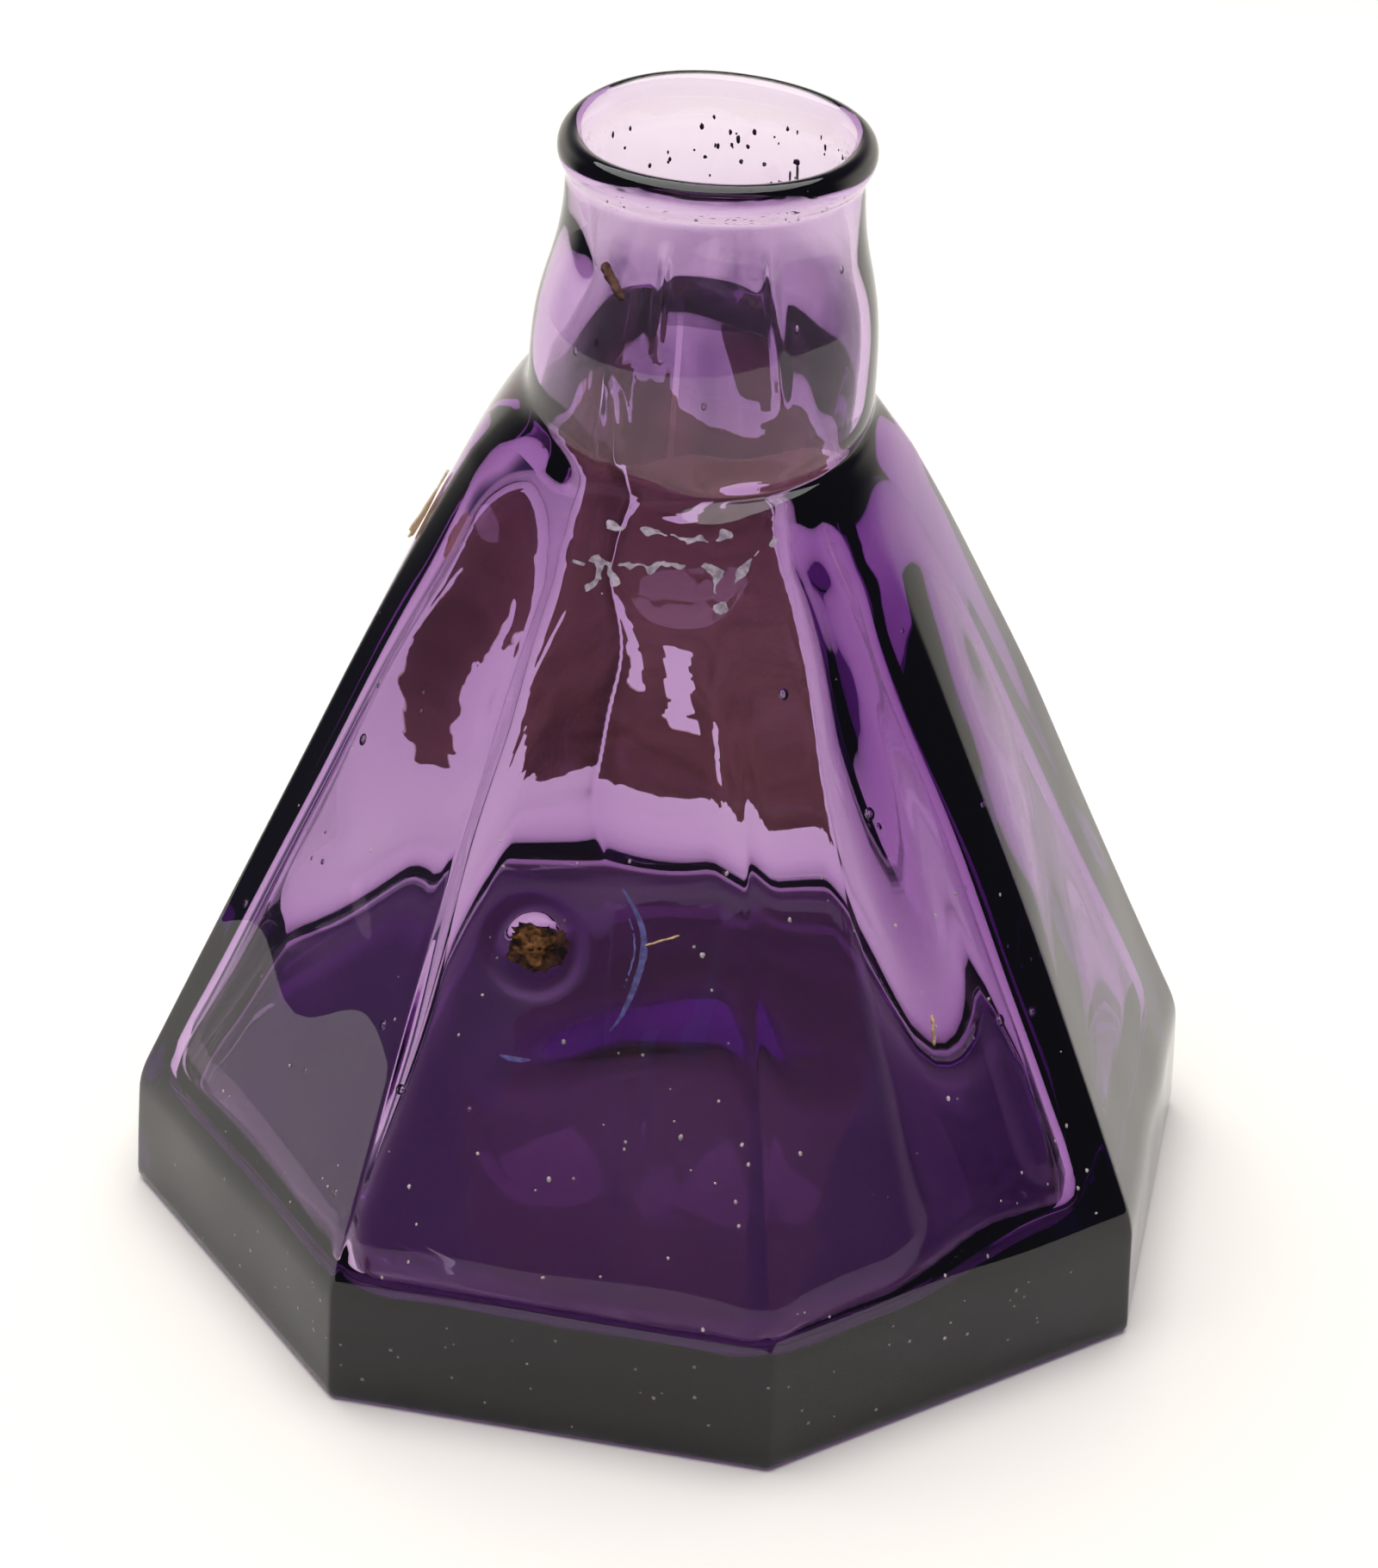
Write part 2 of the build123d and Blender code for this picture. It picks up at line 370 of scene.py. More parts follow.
def neck_centre(height):
    """Centre of the leaning neck at a height."""
    base = np.array([0.3 * MM, 0.15 * MM])
    base_height = 46 * MM
    lean = (np.array(LIP_CENTRE.xy) - base) / (LIP_CENTRE.z - base_height)
    return base + np.multiply.outer(height - base_height, lean)


def neck_radius(height):
    """Radius of the outside of the neck, bulged low down and drawn in under the lip."""
    s = sizes()
    fall = 1 / (1 + np.exp((height - 56.2 * MM) / (1.5 * MM)))
    return s.neck_top_radius + (s.neck_radius - s.neck_top_radius) * fall


def neck_bore(angle, height):
    """Radius of the inside of the neck, round in the mouth and wider to the sides below it."""
    s = sizes()
    wide = neck_radius(height) - 0.6 * s.neck_wall
    rounder = -smooth_min(-wide, -s.bore_radius, 0.7 * MM)
    sideways = np.sin(angle - 0.2) ** 2
    choke = 0.45 * MM * np.exp(-(((height - 53.5 * MM) / (4.5 * MM)) ** 2)) * (1 - sideways)
    return s.bore_radius + (rounder - s.bore_radius) * sideways - choke


def slanting_folds(angle, height):
    """Folds that run aslant round the inside of the neck, left by the twist of the tool."""
    total = 0
    for at, turned, reach, width in ((53.5, 172, 0.7, 1.3), (50.5, 205, 0.6, 1.4), (52, 140, 0.4, 1.2)):
        turn = np.angle(np.exp(1j * (angle - math.radians(turned))))
        along = (height - at * MM) / MM + turn * 7.5 * 0.9
        across = (height - at * MM) / MM - turn * 7.5 * 0.9
        total = total + reach * MM * np.exp(-((across / width) ** 2) - (along / 7.0) ** 2)
    return total


def bore_skin(angle, height, off=0.0):
    """The fluted and folded inside of the neck, or a skin a little way off it."""
    bore = ring_round_neck(angle, neck_bore(angle, height), height)
    flute = soft_waves(bore * np.array([1, 1, 0.35]), 5, 6 * MM, 13 * MM) * 0.20 * MM
    below = smooth_step((LIP_HIGH.z - 3.4 * MM - height) / (4 * MM))
    return bore + radial(angle) * ((flute - slanting_folds(angle, height)) * below - off)[..., None]


def lip_outline(count):
    """Radius and height of the lip's section, from the neck over the rim and into the bore."""
    s = sizes()
    top = RIM_TOP
    rim = [
        (s.neck_top_radius + 0.08 * MM, top - 3.1 * MM),
        (s.neck_top_radius, top - 2.5 * MM),
        (s.neck_top_radius + 0.1 * MM, top - 2.05 * MM),
        (8.3 * MM, top - 1.6 * MM),
        (8.5 * MM, top - 0.95 * MM),
        (8.3 * MM, top - 0.3 * MM),
        (7.75 * MM, top + 0.05 * MM),
        (7.2 * MM, top - 0.1 * MM),
        (6.85 * MM, top - 0.6 * MM),
        (6.7 * MM, top - 1.4 * MM),
        (s.bore_radius, top - 2.6 * MM),
    ]
    rim = np.array(rim)
    knots = np.arange(len(rim))
    at = np.linspace(0, len(rim) - 1, count)
    eased = np.array([np.interp(at, knots, rim[:, k]) for k in range(2)]).T
    for _ in range(3):
        eased[1:-1] = (eased[:-2] + 2 * eased[1:-1] + eased[2:]) / 4
    return eased


def ring_round_neck(angle, radius, height):
    """A ring of points round the leaning neck."""
    centre = neck_centre(height)
    return np.stack(
        [
            centre[..., 0] + radius * np.sin(angle),
            centre[..., 1] - radius * np.cos(angle),
            height + 0 * angle,
        ],
        axis=-1,
    )


# Stretches of a panel where the skin needs finer steps: from, to and step in degrees, from its middle
FINE_STRETCHES = {0: (-19, 2, 0.62), 1: (-13, -3, 0.9)}


def draw_marks(angle, height):
    """Fine upright furrows down the outside of the neck, where the soft glass was drawn."""
    total = 0
    for top, low, deep, width in NECK_FURROWS:
        share = (height / MM - low[1]) / (top[1] - low[1])
        centre = np.radians(low[0] + (top[0] - low[0]) * np.clip(share, 0, 1))
        away = (angle - centre) * 9 / width
        ends = smooth_step(share * 4) * smooth_step((1 - share) * 4)
        total = total + deep * MM * np.exp(-(away**2)) * ends
    return total


# Each furrow: plan angle in degrees and height in mm of its top and its foot, its depth and half width
NECK_FURROWS = (
    ((-6, 60.0), (-5, 53.8), 0.16, 0.32),
    ((33, 60.2), (39, 50.5), 0.18, 0.36),
    ((-21, 52.5), (-17, 48.6), 0.20, 0.5),
)


def plan_angles():
    """Plan angles round the bottle, close together at the corners and across the burst bubble."""
    half_panel = 15
    crowding = 2.2
    from_corner = HALF_STEP * (np.arange(half_panel + 1) / half_panel) ** crowding
    panel = np.concatenate([-HALF_STEP + from_corner, HALF_STEP - from_corner[::-1][1:]])
    angles = []
    for side in range(SIDES):
        here = panel[:-1]
        if side in FINE_STRETCHES:
            left, right, pitch = (math.radians(v) for v in FINE_STRETCHES[side])
            here = here[(here < left) | (here > right)]
            here = np.sort(np.concatenate([here, np.arange(left, right, pitch)]))
        angles.append(here + side * STEP)
    angles = np.concatenate(angles)
    return np.append(angles, angles[0] + 2 * math.pi)


def crowded(count, start=1.0, end=1.0):
    """Numbers from 0 to 1, closer together at an end where its power is above 1."""
    x = np.linspace(0, 1, count)
    rising, falling = x**start, 1 - (1 - x) ** end
    return rising * (1 - x) + falling * x


def front_panel_place(points):
    """Place across and up the slope of the front panel of points near it."""
    s = sizes()
    apothem = s.band_radius * math.cos(HALF_STEP)
    slope = math.atan2(apothem - s.top_radius * math.cos(HALF_STEP), s.top_height - s.band_height)
    inward = points[..., 1] + apothem
    up = inward * math.sin(slope) + (points[..., 2] - s.band_height) * math.cos(slope)
    return points[..., 0], up, slope


def press_burst_bubble(points):
    """Presses the burst bubble into the front panel, with its sharper rim at the lower left."""
    s = sizes()
    across, up, slope = front_panel_place(points)
    middle_across, middle_up, _ = front_panel_place(np.array(CLOT_CENTRE))
    dx, dy = across - middle_across, up - middle_up
    away = np.hypot(dx, dy)
    lower_left = 0.5 + 0.5 * np.cos(np.arctan2(dy, dx) - math.radians(225))
    crater = s.blister_radius * (0.62 + 0.06 * (1 - lower_left))
    depth = s.blister_depth * (1 - smooth_step((away / crater) ** 2.2))
    swell = s.blister_swell * (1 - smooth_step((away / s.blister_radius) ** (2.0 + 1.8 * lower_left)))
    inward = np.array([0, math.cos(slope), -math.sin(slope)])
    near = (np.abs(points[..., 0]) < 9 * MM) & (points[..., 1] < 0)
    return points + ((depth - swell) * near)[..., None] * inward


def glass_skin():
    """Rings of points over the whole glass, outside and in."""
    s = sizes()
    angle = plan_angles()[None, :]
    # outside
    centre = OUTSIDE_CENTRE
    foot_rise = np.arctan2(-centre, eight_sided(angle, FOOT_APOTHEM, s.corner_round))
    band_rise = np.arctan2(
        s.band_height - centre, eight_sided(angle, band_apothem(s.band_height), s.corner_round)
    )
    join_height = s.shoulder_height - fall(s.shoulder_lean, angle, s.neck_radius)
    join = ring_round_neck(angle, neck_radius(join_height), join_height)
    neck_rise = np.arctan2(join[..., 2] - centre, np.hypot(join[..., 0], join[..., 1]))
    down = np.full_like(angle, -math.pi / 2)

    def between(a, b, share):
        return a + (b - a) * share[:, None]

    rises = np.concatenate(
        [
            between(down, foot_rise, crowded(UNDER_RINGS, 1, 2.2))[:-1],
            between(foot_rise, band_rise, crowded(BAND_RINGS, 2, 2))[:-1],
            between(band_rise, neck_rise, crowded(PANEL_RINGS, 1.25, 1)),
        ]
    )
    outside = outer_skin(np.broadcast_to(angle, rises.shape), rises, centre)
    outside[-1] = join
    flow = outside.copy()
    flow[..., 2] *= 0.55
    ripple = soft_waves(flow, 3, 7 * MM, 16 * MM) * 0.045 * MM
    steady = smooth_step((outside[..., 2] - 1.0 * MM) / (3 * MM))
    outside += outward_from(outside, centre) * (ripple * steady)[..., None]
    outside = press_burst_bubble(outside)
    # neck
    lip = lip_outline(LIP_RINGS)
    share = crowded(NECK_RINGS, 1.7, 1)[1:-1, None]
    height = join_height + (lip[0, 1] - join_height) * share
    crease = 0.3 * MM * np.exp(-(((height - join_height) / (0.7 * MM)) ** 2)) * creased(angle)
    neck = ring_round_neck(angle, neck_radius(height) - crease, height)
    dent = soft_waves(neck, 11, 8 * MM, 18 * MM) * 0.07 * MM * np.sin(math.pi * share) ** 0.5
    neck += radial(angle) * (dent - draw_marks(angle, height))[..., None]
    # lip and bore
    rim = ring_round_neck(angle, lip[:, :1], lip[:, 1:] + 0 * angle)
    lift = rim_sway(angle) - fall(s.lip_lean, angle, lip[:, :1])
    rim[..., 2] += lift * smooth_step((lip[:, 1:] - lip[0, 1]) / (1.5 * MM))
    start, end = lip[-1, 1], s.shoulder_height - 1.4 * MM
    depth = start + (end - start) * np.linspace(0, 1, BORE_RINGS)[1:, None] + 0 * angle
    bore = bore_skin(angle, depth)
    # hollow
    middle = HOLLOW_CENTRE
    top = bore[-1:]
    top_rise = np.arctan2(top[..., 2] - middle, np.hypot(top[..., 0], top[..., 1]))
    rises = between(top_rise, down, crowded(HOLLOW_RINGS, 1, 1))[1:]
    hollow = inner_skin(np.broadcast_to(angle, rises.shape), rises, middle)
    flow = hollow.copy()
    flow[..., 2] *= 0.6
    sway = soft_waves(flow, 8, 9 * MM, 22 * MM) * 0.2 * MM
    fade = smooth_step((hollow[..., 2] - 8.5 * MM) / (3 * MM))
    outward = outward_from(hollow, middle)
    lumps = soft_waves(hollow, 14, 5 * MM, 11 * MM) * 0.35 * MM
    lumps *= smooth_step((hollow[..., 2] - 36 * MM) / (8 * MM))
    hollow += outward * (sway * (0.2 + 0.8 * fade) + lumps)[..., None]
    rings = np.concatenate([outside, neck, rim, bore, hollow])
    sharp = rings.copy()
    ease(rings, len(outside) - 1, 3, 1)
    ease(sharp, len(outside) - 1, 10, 30)
    rings += (sharp - rings) * (1 - creased(angle))[..., None]
    ease(rings, len(outside) + len(neck) + len(rim) + len(bore) - 1, 7, 8)
    rings[:, -1] = rings[:, 0]
    return rings


def outward_from(points, height):
    """Unit ways out to points from a height on the axis."""
    outward = points - np.array([0, 0, height])
    return outward / np.linalg.norm(outward, axis=-1, keepdims=True)


def creased(angle):
    """Where the foot of the neck makes a crease on the shoulder, to the right of the front."""
    turn = np.abs(np.angle(np.exp(1j * (angle - math.radians(55)))))
    return 0.05 + 0.95 * smooth_step((math.radians(62) - turn) / 0.6)


def radial(angle):
    return np.stack([np.sin(angle), -np.cos(angle), 0 * angle], axis=-1)


def rim_sway(angle):
    """The slightly wavy height of the rim."""
    return (0.10 * np.sin(2 * angle + 0.6) + 0.06 * np.sin(3 * angle + 2.1)) * MM


def ease(rings, at, reach, times):
    """Rounds the skin across a ring, over a few rings on either side."""
    for _ in range(times):
        part = rings[at - reach : at + reach + 1]
        part[1:-1] = (part[:-2] + 2 * part[1:-1] + part[2:]) / 4


# ---------------------------------------------------------------- modelling helpers


def deselect_all():
    if bpy.context.object and bpy.context.object.mode != "OBJECT":
        bpy.ops.object.mode_set(mode="OBJECT")
    bpy.ops.object.select_all(action="DESELECT")


def select_these(pieces):
    deselect_all()
    for piece in pieces:
        piece.select_set(True)
    bpy.context.view_layer.objects.active = pieces[0]


def lay_grid(name, points):
    """A grid of faces laid over rows of points."""
    rows, columns = points.shape[:2]
    deselect_all()
    bpy.ops.mesh.primitive_grid_add(x_subdivisions=columns - 1, y_subdivisions=rows - 1, size=1)
    piece = bpy.context.object
    piece.name = piece.data.name = name
    piece.data.vertices.foreach_set("co", points.reshape(-1).astype(np.float32))
    piece.data.update()
    bpy.ops.object.transform_apply(location=True, rotation=True, scale=True)
    return piece


def wrap_grid(name, points):
    """A grid laid over rings of points, closed up where they meet."""
    piece = lay_grid(name, points)
    bpy.ops.object.mode_set(mode="EDIT")
    bpy.ops.mesh.select_all(action="SELECT")
    bpy.ops.mesh.remove_doubles(threshold=WELD)
    bpy.ops.mesh.normals_make_consistent(inside=False)
    bpy.ops.object.mode_set(mode="OBJECT")
    bpy.ops.object.shade_smooth()
    return piece


def coated(piece, material):
    piece.data.materials.append(material)
    return piece


def done(piece, slot, *nodes):
    """Hands a finished piece to the frame."""
    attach(piece, "root")
    if nodes:
        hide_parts(*nodes)


# ---------------------------------------------------------------- materials


def new_material(name):
    material = bpy.data.materials.new(name)
    material.use_nodes = True
    nodes = material.node_tree.nodes
    return material, nodes, material.node_tree.links, nodes["Principled BSDF"]


def set_inputs(node, values):
    """Sets plain values on a node's own sockets."""
    for name, value in values.items():
        node.inputs[name].default_value = value


def colour_mix(nodes, blend="MIX"):
    mix = nodes.new("ShaderNodeMix")
    mix.data_type = "RGBA"
    mix.blend_type = blend
    return mix


def map_range(nodes, links, value, low, high, start, end):
    """A value eased from one range into another."""
    stretch = nodes.new("ShaderNodeMapRange")
    stretch.interpolation_type = "SMOOTHSTEP"
    set_inputs(stretch, {"From Min": low, "From Max": high, "To Min": start, "To Max": end})
    links.new(value, stretch.inputs["Value"])
    return stretch.outputs["Result"]


GRAIN_SOCKETS = ("Scale", "Detail", "Distortion", "Low", "High")


def broken_tone_group():
    """Group that breaks two colours up by a grain: the colour, and the grain itself as a height."""
    group = bpy.data.node_groups.get("broken_tone")
    if group:
        return group
    group = bpy.data.node_groups.new("broken_tone", "ShaderNodeTree")
    group.interface.new_socket(name="Vector", in_out="INPUT", socket_type="NodeSocketVector")
    for name in GRAIN_SOCKETS:
        group.interface.new_socket(name=name, in_out="INPUT", socket_type="NodeSocketFloat")
    for name in ("Dark", "Light"):
        group.interface.new_socket(name=name, in_out="INPUT", socket_type="NodeSocketColor")
    group.interface.new_socket(name="Color", in_out="OUTPUT", socket_type="NodeSocketColor")
    group.interface.new_socket(name="Height", in_out="OUTPUT", socket_type="NodeSocketFloat")
    nodes, links = group.nodes, group.links
    given = nodes.new("NodeGroupInput")
    grain = nodes.new("ShaderNodeTexNoise")
    for name in ("Vector", "Scale", "Detail", "Distortion"):
        links.new(given.outputs[name], grain.inputs[name])
    share = nodes.new("ShaderNodeMapRange")
    links.new(grain.outputs["Fac"], share.inputs["Value"])
    links.new(given.outputs["Low"], share.inputs["From Min"])
    links.new(given.outputs["High"], share.inputs["From Max"])
    tone = colour_mix(nodes)
    links.new(share.outputs["Result"], tone.inputs["Factor"])
    links.new(given.outputs["Dark"], tone.inputs["A"])
    links.new(given.outputs["Light"], tone.inputs["B"])
    handed = nodes.new("NodeGroupOutput")
    links.new(tone.outputs["Result"], handed.inputs["Color"])
    links.new(grain.outputs["Fac"], handed.inputs["Height"])
    return group


def broken_tone(nodes, links, vector, grain, dark, light):
    """The broken tone between two colours; grain is its scale, detail, distortion, low and high."""
    tone = nodes.new("ShaderNodeGroup")
    tone.node_tree = broken_tone_group()
    set_inputs(tone, dict(zip(GRAIN_SOCKETS, grain)))
    set_inputs(tone, {"Dark": (*dark, 1), "Light": (*light, 1)})
    links.new(vector, tone.inputs["Vector"])
    return tone


def object_place(nodes):
    return nodes.new("ShaderNodeTexCoord").outputs["Object"]


def grain_bump(nodes, links, tone, strength, distance):
    """The normal of a surface roughened by a tone's grain."""
    bump = nodes.new("ShaderNodeBump")
    set_inputs(bump, {"Strength": strength, "Distance": distance})
    links.new(tone.outputs["Height"], bump.inputs["Height"])
    return bump.outputs["Normal"]


def amethyst_glass():
    """Clear purple glass, coloured through its depth."""
    f = finish()
    material, nodes, links, shader = new_material("amethyst_glass")
    set_inputs(shader, {"Base Color": (1, 1, 1, 1), "Roughness": 0.0, "IOR": 1.5, "Transmission Weight": 1.0})
    depth = nodes.new("ShaderNodeVolumeAbsorption")
    set_inputs(depth, {"Color": (*f.glass_tint, 1), "Density": f.glass_depth})
    links.new(depth.outputs["Volume"], nodes["Material Output"].inputs["Volume"])
    return material


# ---------------------------------------------------------------- operators


class INKBOTTLE_OT_glass(bpy.types.Operator):
    """Model the blown glass of the bottle, lip and all, as one skin"""

    bl_idname = "ink_bottle.glass"
    bl_label = "Blown Glass"

    def execute(self, context):
        piece = wrap_grid("bottle_glass", glass_skin())
        piece = join_all([piece, *seed_bubbles()], "bottle_glass")
        done(coated(piece, amethyst_glass()), "amethyst_glass", "glass_body", "lip_ring")
        return {"FINISHED"}


class INKBOTTLE_OT_label(bpy.types.Operator):
    """Model the torn scraps of the paper label that still hold to the glass"""

    bl_idname = "ink_bottle.label"
    bl_label = "Label Scraps"

    def execute(self, context):
        f = finish()
        printed = old_paper("label_paper_outside", f.paper_outside)
        glued = old_paper("label_paper_glued_side", f.paper_colour)
        for name, side, outline, slits, lift in LABEL_SCRAPS:
            piece = paper_scrap(name, side, outline, slits, lift)
            piece.data.materials.append(printed)
            piece.data.materials.append(printed if lift else glued)
            out = panel_ways(side)[2]
            for face in piece.data.polygons:
                face.material_index = int(face.normal.dot(out) < -0.3)
            done(piece, "label_paper", name.replace("paper", "label_scrap"))
        return {"FINISHED"}


def inside_outline(across, up, outline):
    """Which places lie inside a closed outline, by how many of its sides are crossed."""
    inside = np.zeros(across.shape, bool)
    corners = list(zip(outline, outline[1:] + outline[:1]))
    for (x1, y1), (x2, y2) in corners:
        if y1 == y2:
            continue
        crosses = (y1 > up) != (y2 > up)
        inside ^= crosses & (across < (x2 - x1) * (up - y1) / (y2 - y1) + x1)
    return inside


def height_on_panel(up):
    """Height of a place some way up the slope of a panel."""
    return sizes().band_height + up * math.sqrt(1 - panel_ways(0)[2].z ** 2)


def on_glass(side, across, up, off):
    """Points on the outside of a panel, across and up its slope, and a distance off the glass."""
    out = np.array(panel_ways(side)[2])
    height = height_on_panel(up)
    flat = panel_apothem(height)
    turn = np.clip(np.arctan2(across, flat), -HALF_STEP, HALF_STEP)
    rise = np.arctan2(height - OUTSIDE_CENTRE, flat / np.cos(turn))
    points = outer_skin(math.radians(side) + turn, rise, OUTSIDE_CENTRE)
    return points + out * np.asarray(off)[..., None]


def paper_scrap(name, side, outline, slits, lift):
    """A scrap of thin paper laid on a panel, with frayed edges; one side of it may curl away."""
    low, high = np.min(outline, axis=0) - 1, np.max(outline, axis=0) + 1
    cell = 0.2
    across, up = np.meshgrid(np.arange(low[0], high[0], cell), np.arange(low[1], high[1], cell))
    place = np.stack([across, up, 0 * up + side / 40], axis=-1)
    fray = 0.30 * soft_waves(place, 21, 0.7, 2.2), 0.36 * soft_waves(place, 22, 0.7, 2.6)
    kept = inside_outline(across + fray[0], up + fray[1], outline)
    for slit in slits:
        kept &= ~inside_outline(across + 0.5 * fray[0], up + 0.5 * fray[1], slit)
    kept &= np.abs(across) < panel_apothem(height_on_panel(up * MM)) / MM * math.tan(HALF_STEP) + cell
    cockle = 0.5 + 0.5 * soft_waves(place, 23, 4, 11)
    curl = lift * smooth_step((across - (high[0] - 3.4)) / 3.4) ** 1.6
    off = (0.10 + 0.05 * np.clip(cockle, 0, 1.5) + curl) * MM
    points = on_glass(side, across * MM, up * MM, off)
    return cut_sheet(name, points, kept, 0.12 * MM)


def cut_sheet(name, points, kept, thickness):
    """A thin sheet laid over a grid of points, with the parts that are not kept cut away."""
    piece = lay_grid(name, points)
    kept = kept.reshape(-1)
    bpy.ops.object.mode_set(mode="EDIT")
    bpy.ops.mesh.select_all(action="DESELECT")
    bpy.ops.object.mode_set(mode="OBJECT")
    for face in piece.data.polygons:
        face.select = not all(kept[v] for v in face.vertices)
    bpy.ops.object.mode_set(mode="EDIT")
    bpy.ops.mesh.select_mode(type="FACE")
    bpy.ops.mesh.delete(type="FACE")
    bpy.ops.mesh.select_mode(type="VERT")
    bpy.ops.mesh.select_all(action="SELECT")
    bpy.ops.mesh.delete_loose()
    bpy.ops.mesh.remove_doubles(threshold=WELD)
    bpy.ops.mesh.select_all(action="DESELECT")
    bpy.ops.mesh.select_non_manifold(extend=False)
    bpy.ops.mesh.vertices_smooth(factor=0.5, repeat=3)
    bpy.ops.object.mode_set(mode="OBJECT")
    thick = piece.modifiers.new("Thickness", "SOLIDIFY")
    thick.thickness = thickness
    thick.offset = 1
    bpy.ops.object.modifier_apply(modifier=thick.name)
    bpy.ops.object.shade_smooth_by_angle(angle=math.radians(40))
    return piece


def old_paper(name, colour):
    """Stained, fibrous old paper of a colour."""
    material, nodes, links, shader = new_material(name)
    place = object_place(nodes)
    colour = Vector(colour)
    stain = broken_tone(nodes, links, place, (190, 6.0, 1.2, 0.3, 0.72), colour * 0.42, colour * 1.5)
    dark, light = Vector((0.25,) * 3), Vector((0.75,) * 3)
    fibres = broken_tone(nodes, links, place, (1900, 4.0, 0, 0, 1), dark, light)
    speckle = colour_mix(nodes, "OVERLAY")
    speckle.inputs["Factor"].default_value = 0.45
    links.new(stain.outputs["Color"], speckle.inputs["A"])
    links.new(fibres.outputs["Color"], speckle.inputs["B"])
    links.new(speckle.outputs["Result"], shader.inputs["Base Color"])
    set_inputs(shader, {"Roughness": 0.92, "Specular IOR Level": 0.2, "Subsurface Weight": 1.0})
    set_inputs(shader, {"Subsurface Radius": (1.0, 0.75, 0.65), "Subsurface Scale": 1.0 * MM})
    links.new(grain_bump(nodes, links, fibres, 0.7, 0.06 * MM), shader.inputs["Normal"])
    return material


# Each scrap: name, panel in degrees, torn outline, slits (in mm across and up the panel), and its curl
LABEL_SCRAPS = (
    (
        "paper_back", 180,
        [
            (12.5, 2.4), (8.5, 1.6), (4.6, 2.2), (1.2, 2.9), (-2.2, 1.7), (-6.0, 1.2), (-10.4, 1.0),
            (-9.6, 6.0), (-9.3, 11.0), (-8.6, 16.0), (-8.0, 20.5), (-7.3, 26.0), (-5.6, 30.0), (-5.2, 36.0),
            (-4.4, 41.0), (-2.0, 44.0), (0.6, 44.6), (0.9, 42.6), (-0.9, 39.8), (0.4, 38.4), (2.4, 41.8),
            (4.6, 42.6), (6.0, 41.0), (9.0, 38.0),
        ],
        [
            [(5.0, 19.6), (5.7, 20.2), (6.3, 10.6), (5.6, 10.4)],
            [(7.4, 24.6), (7.9, 25.2), (8.3, 14.8), (7.6, 14.4)],
            [(2.4, 12.0), (3.0, 12.2), (3.5, 5.6), (2.9, 5.4)],
        ],
        0,
    ),
    (
        "paper_back_left", -135,
        [
            (-12.5, 3.4), (-6.4, 4.2), (-2.6, 8.0), (-0.5, 12.0), (1.2, 15.0), (2.6, 10.4), (3.4, 17.0),
            (3.7, 21.0), (4.2, 25.0), (4.2, 30.0), (4.4, 34.0), (4.6, 39.0), (4.4, 42.6), (0.5, 44.0),
            (-9.0, 42.0),
        ],
        [[(1.6, 26.4), (2.0, 26.8), (4.4, 22.4), (4.0, 22.0)]],
        0,
    ),
    (
        "paper_left", -90,
        [(1.6, 36.8), (3.2, 35.4), (4.9, 35.6), (5.3, 37.2), (4.8, 39.4), (3.2, 40.4), (1.9, 39.2)],
        [],
        0.55,
    ),
)


def panel_ways(side):
    """Across, up the slope and out of a panel."""
    s = sizes()
    inset = (s.band_radius - s.top_radius) * math.cos(HALF_STEP)
    tilt = math.atan2(inset, s.top_height - s.band_height)
    turn = math.radians(side)
    out = Vector(
        (math.cos(tilt) * math.sin(turn), -math.cos(tilt) * math.cos(turn), math.sin(tilt))
    )
    across = Vector((math.cos(turn), math.sin(turn), 0))
    return across, out.cross(across), out


def panel_point(side, across, up, off=0.0):
    """A point on a panel, in mm across and up its slope, and off the glass."""
    return Vector(on_glass(side, np.array(across * MM), np.array(up * MM), off * MM))


def neck_point(turn, height, off=0.0):
    """A point on the outside of the neck, by plan angle in degrees and height in mm."""
    angle = np.array(math.radians(turn))
    high = np.array(height * MM)
    return Vector(ring_round_neck(angle, neck_radius(high) + off * MM, high))


def round_ways(turn):
    """Across, up and out at a plan angle."""
    turn = math.radians(turn)
    return (
        Vector((math.cos(turn), math.sin(turn), 0)),
        Vector((0, 0, 1)),
        Vector((math.sin(turn), -math.cos(turn), 0)),
    )


def lump(point, reach, ways, draw, rough=0.25, detail=1):
    """A small uneven ball: its place, how far it reaches along three ways in mm, and the ways."""
    deselect_all()
    bpy.ops.mesh.primitive_ico_sphere_add(subdivisions=detail, radius=1)
    piece = bpy.context.object
    for vertex in piece.data.vertices:
        uneven = 1 + draw.uniform(-rough, rough)
        steps = [way * (part * far * MM * uneven) for way, part, far in zip(ways, vertex.co, reach)]
        vertex.co = point + steps[0] + steps[1] + steps[2]
    return piece


# Bubbles in the wall: panel in degrees, place across and up it in mm, and radius
SEEDS = (
    (-45, -3.6, 25.4, 0.30), (-45, -8.5, 12.9, 0.24), (-45, 7.4, 13.5, 0.26), (-45, -3.0, 18.2, 0.14),
    (0, -9.5, 11.1, 0.30), (0, -5.7, 10.6, 0.12), (45, 0.3, 26.3, 0.30), (45, 6.0, 13.4, 0.26),
    (45, 8.2, 13.3, 0.26), (45, -3.3, 33.9, 0.28), (-45, 8.9, 4.1, 0.22), (45, 9.6, 25.0, 0.18),
)


